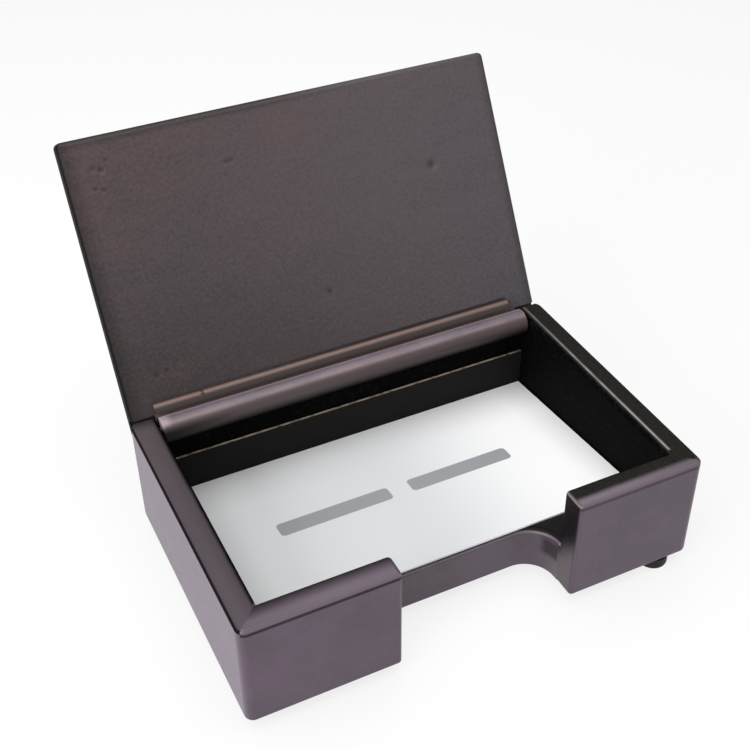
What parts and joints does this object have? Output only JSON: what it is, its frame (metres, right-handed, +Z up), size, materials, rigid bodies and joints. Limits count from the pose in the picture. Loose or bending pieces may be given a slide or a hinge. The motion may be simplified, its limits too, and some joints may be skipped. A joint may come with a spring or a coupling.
{
  "type": "business card holder stand",
  "caption": "Lacquered wooden desk box for business cards: a walled tray with a thumb notch in front and a hinged lid that leans open behind the card.",
  "frame": {"origin": "on the desk, under the middle of the box that holds the part with its lid open", "axes": "+Z up, +X to the right along the front wall, +Y from the front wall towards the hinge"},
  "size_m": [0.106, 0.1022, 0.0835],
  "materials": {
    "lacquered_wood": "dark aubergine-brown satin lacquer, rubbed through along the edges",
    "lining_paper": "matt black sheet",
    "lining_board": "black face with a raw pale top edge",
    "card_paper": "smooth white card",
    "foot_rubber": "matt black rubber",
    "pin_steel": "drawn steel wire"
  },
  "bodies": {
    "box": {"base_panel": "lacquered_wood", "left_wall": "lacquered_wood", "right_wall": "lacquered_wood", "front_wall_left": "lacquered_wood", "front_wall_right": "lacquered_wood", "back_wall": "lacquered_wood", "floor_lining": "lining_paper", "back_lining": "lining_board", "card": "card_paper", "foot_front_left": "foot_rubber", "foot_front_right": "foot_rubber", "foot_rear_left": "foot_rubber", "foot_rear_right": "foot_rubber"},
    "lid": {"lid_panel": "lacquered_wood", "hinge_strip": "lacquered_wood", "hinge_roll": "lacquered_wood", "hinge_pin_left": "pin_steel", "hinge_pin_right": "pin_steel"}
  },
  "joints": [
    {"name": "lid_hinge", "type": "hinge", "parent": "box", "child": "lid", "pos_m": [0, 0.01284, 0.0275], "axis": [1, 0, 0], "range_deg": [0, 119.4]}
  ]
}
